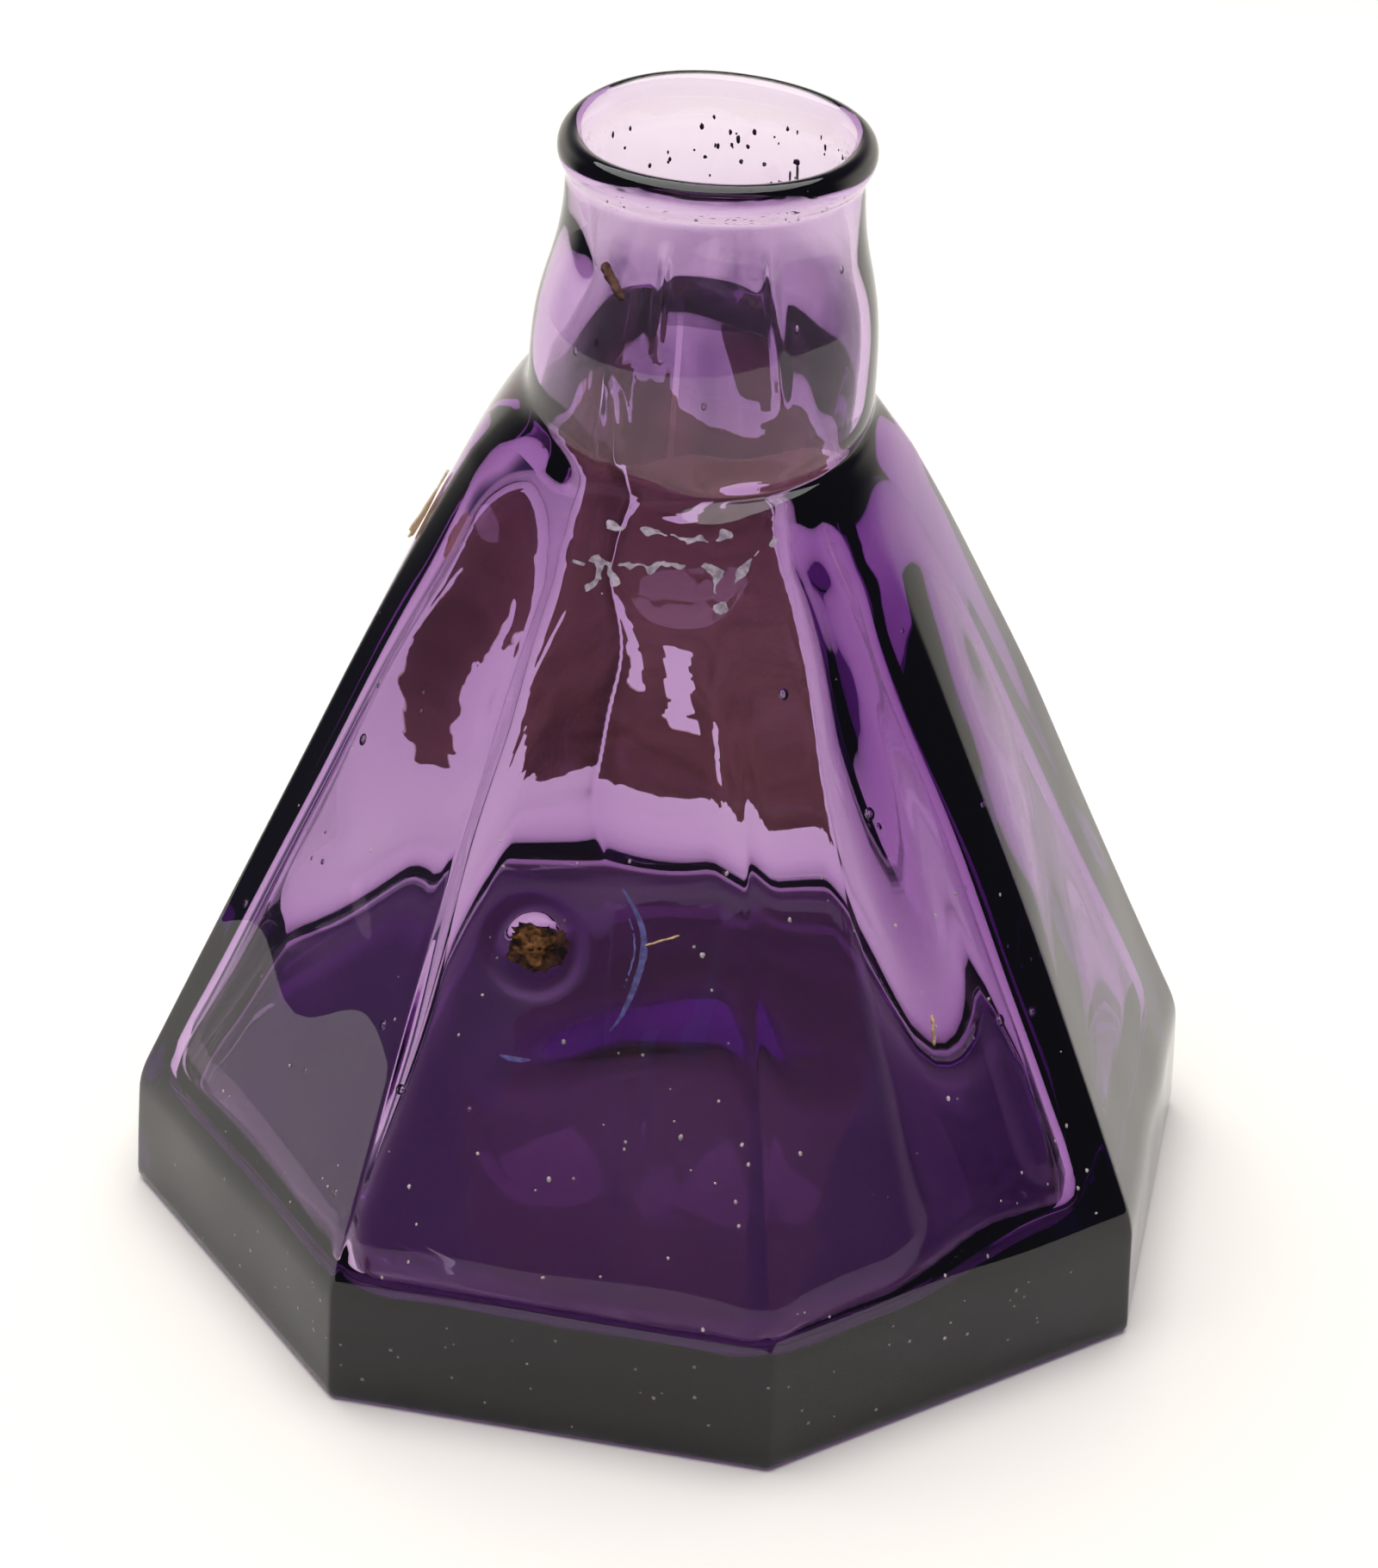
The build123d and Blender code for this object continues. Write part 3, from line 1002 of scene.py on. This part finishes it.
def seed_bubbles():
    """Gas bubbles closed up in the glass, drawn out a little upright."""
    draw = random.Random(40)
    bubbles = []
    for side, across, up, radius in SEEDS:
        reach = (radius, radius * draw.uniform(1.0, 1.5), radius * 0.8)
        point = panel_point(side, across, up, -0.55)
        bubbles.append(lump(point, reach, panel_ways(side), draw, 0, 2))
    for _ in range(26):
        side = draw.choice((-90, -45, 0, 45, 90, 135, 180, 225))
        radius = draw.uniform(0.06, 0.13)
        point = panel_point(side, draw.uniform(-6, 6), draw.uniform(5, 36), -0.5)
        bubbles.append(lump(point, (radius, radius * 1.3, radius), panel_ways(side), draw, 0, 2))
    for turn, height in ((45, 55.2), (-38, 53.0), (12, 51.5), (70, 57.5)):
        point = neck_point(turn, height, -0.7)
        bubbles.append(lump(point, (0.15, 0.24, 0.12), round_ways(turn), draw, 0, 2))
    turn_inside_out(bubbles)
    return bubbles


def turn_inside_out(pieces):
    select_these(pieces)
    bpy.ops.object.mode_set(mode="EDIT")
    bpy.ops.mesh.select_all(action="SELECT")
    bpy.ops.mesh.flip_normals()
    bpy.ops.object.mode_set(mode="OBJECT")


def painted_crack_slivers():
    """Thin curved slivers of the crack round one side of the burst bubble, where it takes the light; their
    bluish colour is a painted reflection of the crack.
    """
    middle = [v / MM for v in front_panel_place(np.array(CLOT_CENTRE))[:2]]
    across, up = np.meshgrid(np.arange(-5, 4, 0.08), np.arange(12.5, 25.5, 0.08))
    dx, dy = across - middle[0], up - middle[1]
    away, turn = np.hypot(dx, dy), np.degrees(np.arctan2(dy, dx))
    kept = np.zeros(across.shape, bool)
    for radius, first, last, width in (
        (5.75, 48, -46, 0.26), (5.25, 52, -38, 0.13), (5.9, -84, -104, 0.22), (6.35, 20, -28, 0.07)
    ):
        share = np.clip((turn - last) / (first - last), 0, 1)
        far = np.abs(away - radius - 0.10 * np.sin(turn / 9))
        kept |= far < width * np.sqrt(np.sin(math.pi * share))
    points = on_glass(0, across * MM, up * MM, 0.03 * MM)
    return cut_sheet("painted_crack_slivers", points, kept, 0.02 * MM)


def join_all(pieces, name):
    select_these(pieces)
    bpy.ops.object.join()
    piece = bpy.context.object
    piece.name = piece.data.name = name
    bpy.ops.object.transform_apply(location=True, rotation=True, scale=True)
    bpy.ops.object.shade_smooth()
    return piece


class INKBOTTLE_OT_dirt(bpy.types.Operator):
    """Model the dried clot in the burst bubble, the ink flecks in the mouth and the rust on the neck"""

    bl_idname = "ink_bottle.dirt"
    bl_label = "Dried Dirt"

    def execute(self, context):
        ink = dull_colour("dry_ink", (0.05, 0.02, 0.06), 0.6)
        rust = dull_colour("rust", (0.17, 0.085, 0.065), 0.9)
        done(coated(clot_of_dirt(), dried_dirt()), "dried_residue", "residue_clot")
        done(coated(ink_flecks(), ink), "dried_residue")
        done(coated(ink_film(), smoky_film()), "dried_residue")
        done(coated(rust_fleck(), rust), "dried_residue")
        return {"FINISHED"}


class INKBOTTLE_OT_dust(bpy.types.Operator):
    """Model the specks of dust and the lint, the crack with its painted glint, and the painted highlights
    along the shoulder
    """

    bl_idname = "ink_bottle.dust"
    # this step also lays the painted glint of the crack and the painted highlights on the shoulder
    bl_label = "Dust and Painted Glints"

    def execute(self, context):
        dust = dull_colour("pale_dust", (0.50, 0.43, 0.42), 0.9)
        lint = dull_colour("yellow_lint", (0.60, 0.42, 0.20), 0.9)
        # painted reflection: the bluish colour of the crack slivers stands in for the light that the crack
        # reflects
        glint = dull_colour("painted_crack_glint", (0.115, 0.10, 0.27), 0.35)
        # painted highlight: this pale colour on the shoulder stands in for light reflected by its ripples
        painted_shine = dull_colour("painted_shoulder_shine", (0.46, 0.39, 0.46), 0.6)
        done(coated(dust_specks(), dust), "dried_residue")
        done(coated(lint_hairs(), lint), "dried_residue")
        done(coated(painted_crack_slivers(), glint), "amethyst_glass")
        done(coated(painted_shoulder_highlights(), painted_shine), "amethyst_glass")
        return {"FINISHED"}


def clot_of_dirt():
    """The crumbly clot that lies in the burst bubble."""
    deselect_all()
    bpy.ops.mesh.primitive_ico_sphere_add(subdivisions=5, radius=1)
    piece = bpy.context.object
    across, up, out = panel_ways(0)
    _, middle_up, _ = front_panel_place(np.array(CLOT_CENTRE))
    centre = panel_point(0, CLOT_CENTRE.x / MM, middle_up / MM, -0.30)
    ball = np.array([v.co for v in piece.data.vertices])
    coarse = soft_waves(ball, 31, 0.9, 2.2)
    crumbs = soft_waves(ball, 32, 0.18, 0.5, 24)
    ragged = 1 + 0.22 * coarse + 0.09 * crumbs
    flat = ball * np.array([1.35, 1.15, 0.0]) * ragged[:, None]
    flat[:, 0] += 0.25 * flat[:, 1] - 0.5 * np.clip(-flat[:, 0], 0, None) * np.clip(flat[:, 1], 0, None)
    rise = np.clip(ball[:, 2], -1, 1) * (0.34 + 0.10 * crumbs + 0.10 * coarse)
    for vertex, place, high in zip(piece.data.vertices, flat, rise):
        vertex.co = centre + (across * place[0] + up * place[1] + out * high) * MM
    piece.name = piece.data.name = "dirt_clot"
    bpy.ops.object.transform_apply(location=True, rotation=True, scale=True)
    bpy.ops.object.shade_smooth()
    return piece


def ink_flecks():
    """Specks of dry ink on the inside of the mouth, and one that ran."""
    draw = random.Random(7)
    flecks = []
    for _ in range(46):
        turn = draw.gauss(172, 42)
        high = draw.uniform(58.6, 62.2)
        size = draw.uniform(0.05, 0.13)
        flecks.append(bore_fleck(turn, high, (size, size * draw.uniform(1, 2.4), 0.04), draw))
    for turn, high, reach in (
        (150, 60.2, (0.3, 0.2, 0.06)), (149, 59.6, (0.13, 0.6, 0.05)), (153, 59.3, (0.1, 0.4, 0.05))
    ):
        flecks.append(bore_fleck(turn, high, reach, draw))
    return join_all(flecks, "ink_flecks")


def ink_film():
    """The thin film of old ink on the inside of the neck."""
    angle = np.linspace(0, 2 * math.pi, 121)[None, :]
    height = np.linspace(47.6, 57.6, 36)[:, None] * MM + 0 * angle
    height += (0.5 * np.sin(3 * angle) + 0.3 * np.sin(7 * angle + 1)) * MM
    points = bore_skin(angle + 0 * height, height, 0.05 * MM)
    return cut_sheet("ink_film", points, np.ones(height.shape, bool), 0.02 * MM)


def smoky_film():
    """A clear film, smoked in slanting streaks."""
    material, nodes, links, shader = new_material("ink_film")
    place = object_place(nodes)
    slant = nodes.new("ShaderNodeMapping")
    set_inputs(slant, {"Rotation": (0.0, math.radians(-28), 0.0), "Scale": (1.0, 1.0, 0.34)})
    links.new(place, slant.inputs["Vector"])
    grain = (190, 5.0, 0.6, 0.38, 0.66)
    smoked, clear = (0.36, 0.30, 0.42), (0.86, 0.80, 0.87)
    smoke = broken_tone(nodes, links, slant.outputs["Vector"], grain, smoked, clear)
    split = nodes.new("ShaderNodeSeparateXYZ")
    links.new(place, split.inputs["Vector"])
    thin = map_range(nodes, links, split.outputs["Z"], 53.5 * MM, 57.2 * MM, 0, 1)
    fade = colour_mix(nodes)
    fade.inputs["B"].default_value = (1, 1, 1, 1)
    links.new(thin, fade.inputs["Factor"])
    links.new(smoke.outputs["Color"], fade.inputs["A"])
    links.new(fade.outputs["Result"], shader.inputs["Base Color"])
    set_inputs(shader, {"Roughness": 0.0, "IOR": 1.04, "Transmission Weight": 1.0})
    return material


def bore_fleck(turn, height, reach, draw):
    angle, high = np.array(math.radians(turn)), np.array(height * MM)
    point = Vector(ring_round_neck(angle, neck_bore(angle, high) - 0.02 * MM, high))
    return lump(point, reach, round_ways(turn), draw)


def rust_fleck():
    draw = random.Random(3)
    lumps = []
    for step in range(6):
        point = neck_point(-29 + 1.5 * step, 57.9 - 0.20 * step, 0.0)
        lumps.append(lump(point, (0.34, 0.34, 0.05), round_ways(-26), draw, 0.3, 2))
    return join_all(lumps, "rust_fleck")


def dust_specks():
    """Pale specks of dust over the front of the bottle."""
    draw = random.Random(11)
    specks = []
    places = [(0, 5.8, 20.5, 0.16), (0, 5.8, 10.9, 0.14), (45, 1.6, 10.3, 0.14)]
    for _ in range(90):
        side = draw.choice((-45, 0, 0, 0, 45, 45))
        up = 24 * draw.random() ** 1.3 + 1
        half = 11.4 - up * 0.19
        places.append((side, draw.uniform(-half, half), up, draw.uniform(0.05, 0.125)))
    for side, across, up, size in places:
        reach = (size, size * draw.uniform(0.7, 1.5), size * 0.4)
        specks.append(lump(panel_point(side, across, up, 0.03), reach, panel_ways(side), draw))
    for _ in range(64):
        turn = draw.uniform(-60, 62)
        angle, high = np.array(math.radians(turn)), draw.uniform(0.8, 6.6) * MM
        radius = eight_sided(angle, band_apothem(high), sizes().corner_round) - 0.035 * MM
        point = Vector((radius * math.sin(angle), -radius * math.cos(angle), high))
        size = draw.uniform(0.05, 0.13)
        specks.append(lump(point, (size, size, 0.03), round_ways(round(turn / 45) * 45), draw))
    return join_all(specks, "dust_specks")


def lint_hairs():
    """A yellow hair of lint standing on the right panel, and a pale scratch in the front one."""
    draw = random.Random(5)
    hairs = []
    for side, start, end, thick in (
        (45, (1.35, 13.5), (1.5, 14.8), 0.09), (0, (2.9, 20.7), (4.3, 21.3), 0.06)
    ):
        for step in range(7):
            share = step / 6
            across = start[0] + (end[0] - start[0]) * share + 0.04 * math.sin(step * 1.7)
            up = start[1] + (end[1] - start[1]) * share
            length = math.dist(start, end) / 6
            along = Vector((end[0] - start[0], end[1] - start[1])).normalized()
            wide, tall, out = panel_ways(side)
            ways = (wide * along.y - tall * along.x, wide * along.x + tall * along.y, out)
            point = panel_point(side, across, up, 0.05)
            hairs.append(lump(point, (thick, length, thick), ways, draw, 0.1))
    return join_all(hairs, "lint_hairs")


# Painted highlights on the crest of the shoulder, pale wisps standing in for the shine of its ripples, as
# runs of points across and up the front panel in mm
PAINTED_HIGHLIGHT_RUNS = (
    [(-3.6, 40.2), (-2.4, 40.6), (-1.0, 40.9), (0.8, 40.9)],
    [(-2.5, 40.4), (-2.3, 39.6), (-2.7, 38.8)],
    [(-1.7, 40.5), (-1.5, 39.6), (-1.9, 38.9)],
    [(1.4, 41.0), (2.6, 41.1), (3.9, 41.2), (4.4, 40.6), (4.3, 39.6)],
    [(4.7, 38.6), (5.1, 39.8), (5.9, 40.8), (7.4, 41.9), (9.4, 43.0)],
    [(-2.0, 42.9), (0.0, 43.3), (2.4, 42.8), (5.0, 43.1)],
)


def painted_shoulder_highlights():
    """Pale wisps along the crest of the shoulder: painted highlights of the light on its rippled glass."""
    across, up = np.meshgrid(np.arange(-5, 10.4, 0.09), np.arange(37.8, 44.2, 0.09))
    place = np.stack([across, up, 0 * up], axis=-1)
    wander = 0.22 * soft_waves(place, 51, 0.8, 2.5), 0.16 * soft_waves(place, 52, 0.8, 2.5)
    kept = np.zeros(across.shape, bool)
    for run in PAINTED_HIGHLIGHT_RUNS:
        for (x1, y1), (x2, y2) in zip(run, run[1:]):
            dx, dy = x2 - x1, y2 - y1
            share = np.clip(((across - x1) * dx + (up - y1) * dy) / (dx * dx + dy * dy), 0, 1)
            far = np.hypot(across + wander[0] - x1 - share * dx, up + wander[1] - y1 - share * dy)
            kept |= far < 0.24 + 0.16 * soft_waves(place, 53, 0.7, 1.9)
    out = np.array(panel_ways(0)[2])
    height = height_on_panel(up * MM)
    flat = panel_apothem(height)
    rise = np.arctan2(height - OUTSIDE_CENTRE, flat)
    points = outer_skin(np.arctan2(across * MM, flat), rise, OUTSIDE_CENTRE)
    return cut_sheet("painted_shoulder_highlights", points + out * 0.06 * MM, kept, 0.03 * MM)


def dull_colour(name, colour, roughness):
    """A plain colour broken up a little."""
    material, nodes, links, shader = new_material(name)
    colour = Vector(colour)
    grain = (2600, 3.0, 0, 0.35, 0.7)
    tone = broken_tone(nodes, links, object_place(nodes), grain, colour * 0.55, colour * 1.35)
    links.new(tone.outputs["Color"], shader.inputs["Base Color"])
    set_inputs(shader, {"Roughness": roughness, "Specular IOR Level": 0.2})
    return material


def dried_dirt():
    """Crumbly brown dirt, paler and more orange where it is thin."""
    material, nodes, links, shader = new_material("dried_dirt")
    colour = Vector(finish().dirt_colour)
    grain = (1500, 5.0, 0, 0.38, 0.68)
    tone = broken_tone(nodes, links, object_place(nodes), grain, colour * 0.25, colour * 2.4)
    links.new(tone.outputs["Color"], shader.inputs["Base Color"])
    set_inputs(shader, {"Roughness": 0.95, "Specular IOR Level": 0.1})
    links.new(grain_bump(nodes, links, tone, 0.8, 0.08 * MM), shader.inputs["Normal"])
    return material


class INKBOTTLE_OT_stage(bpy.types.Operator):
    """Set the pale floor, the soft light and the camera"""

    bl_idname = "ink_bottle.stage"
    bl_label = "Stage"

    def execute(self, context):
        floor()
        light()
        camera()
        return {"FINISHED"}


def floor():
    """A plain, pale, round table top."""
    deselect_all()
    bpy.ops.mesh.primitive_circle_add(
        vertices=96, radius=FLOOR_RADIUS, fill_type="NGON", location=(0, 0, -FLOOR_DROP)
    )
    ground = bpy.context.object
    ground.name = "pale_floor"
    material, _, _, shader = new_material("pale_cloth")
    set_inputs(shader, {"Base Color": (0.86, 0.835, 0.78, 1), "Roughness": 0.9, "Specular IOR Level": 0.0})
    ground.data.materials.append(material)


def background(nodes, colour):
    node = nodes.new("ShaderNodeBackground")
    node.inputs["Color"].default_value = (*colour, 1)
    return node.outputs["Background"]


def light():
    """A wide soft sun, and a dim room with a bright sweep low down behind the bottle."""
    bpy.ops.object.light_add(type="SUN", rotation=(math.radians(-8), math.radians(-8), 0))
    sun = bpy.context.object.data
    sun.energy = 3.72
    sun.angle = math.radians(75)
    sun.color = (1.0, 0.99, 0.97)
    world = bpy.data.worlds.new("dim_room")
    bpy.context.scene.world = world
    world.use_nodes = True
    nodes, links = world.node_tree.nodes, world.node_tree.links
    room = nodes["Background"]
    room.inputs["Color"].default_value = (0.10, 0.095, 0.14, 1)
    way = nodes.new("ShaderNodeTexCoord")
    split = nodes.new("ShaderNodeSeparateXYZ")
    links.new(way.outputs["Generated"], split.inputs["Vector"])
    behind = map_range(nodes, links, split.outputs["Y"], 0.15, 0.55, 0, 1)
    low = map_range(nodes, links, split.outputs["Z"], 0.2, 0.6, 1, 0)
    share = nodes.new("ShaderNodeMath")
    share.operation = "MULTIPLY"
    links.new(behind, share.inputs[0])
    links.new(low, share.inputs[1])
    around = nodes.new("ShaderNodeMixShader")
    links.new(share.outputs["Value"], around.inputs["Fac"])
    links.new(room.outputs["Background"], around.inputs[1])
    links.new(background(nodes, (1.15, 1.09, 1.0)), around.inputs[2])
    path = nodes.new("ShaderNodeLightPath")
    mix = nodes.new("ShaderNodeMixShader")
    links.new(path.outputs["Is Camera Ray"], mix.inputs["Fac"])
    links.new(around.outputs["Shader"], mix.inputs[1])
    links.new(background(nodes, (1, 1, 0.98)), mix.inputs[2])
    links.new(mix.outputs["Shader"], nodes["World Output"].inputs["Surface"])
    bpy.context.scene.view_settings.view_transform = "Standard"


def camera():
    bpy.ops.object.camera_add(location=EYE)
    eye = bpy.context.object
    aim = (Vector(LOOKED_AT) - eye.location).to_track_quat("-Z", "Y")
    aim = aim.to_matrix().to_4x4() @ Matrix.Rotation(ROLL, 4, "Z")
    eye.rotation_euler = aim.to_euler()
    eye.data.sensor_fit = "VERTICAL"
    eye.data.sensor_height = 36
    eye.data.lens = LENS
    eye.data.clip_start = 0.01
    bpy.context.scene.camera = eye


class INKBOTTLE_PT_panel(bpy.types.Panel):
    """Lists the pieces of the ink bottle"""

    bl_idname = "INKBOTTLE_PT_panel"
    bl_label = "Ink Bottle"
    bl_space_type = "VIEW_3D"
    bl_region_type = "UI"
    bl_category = "Ink Bottle"

    def draw(self, context):
        for operator in OPERATORS:
            self.layout.operator(operator.bl_idname)


OPERATORS = (INKBOTTLE_OT_stage, INKBOTTLE_OT_glass, INKBOTTLE_OT_label, INKBOTTLE_OT_dirt, INKBOTTLE_OT_dust)
CLASSES = (InkBottleSizes, InkBottleFinish, *OPERATORS, INKBOTTLE_PT_panel)


def register():
    for cls in CLASSES:
        bpy.utils.register_class(cls)
    bpy.types.Scene.ink_bottle_sizes = bpy.props.PointerProperty(type=InkBottleSizes)
    bpy.types.Scene.ink_bottle_finish = bpy.props.PointerProperty(type=InkBottleFinish)


def unregister():
    del bpy.types.Scene.ink_bottle_sizes
    del bpy.types.Scene.ink_bottle_finish
    for cls in reversed(CLASSES):
        bpy.utils.unregister_class(cls)


def main():
    register()
    bpy.ops.ink_bottle.stage()
    bpy.ops.ink_bottle.glass()
    bpy.ops.ink_bottle.label()
    bpy.ops.ink_bottle.dirt()
    bpy.ops.ink_bottle.dust()


if __name__ == "__main__":
    main()
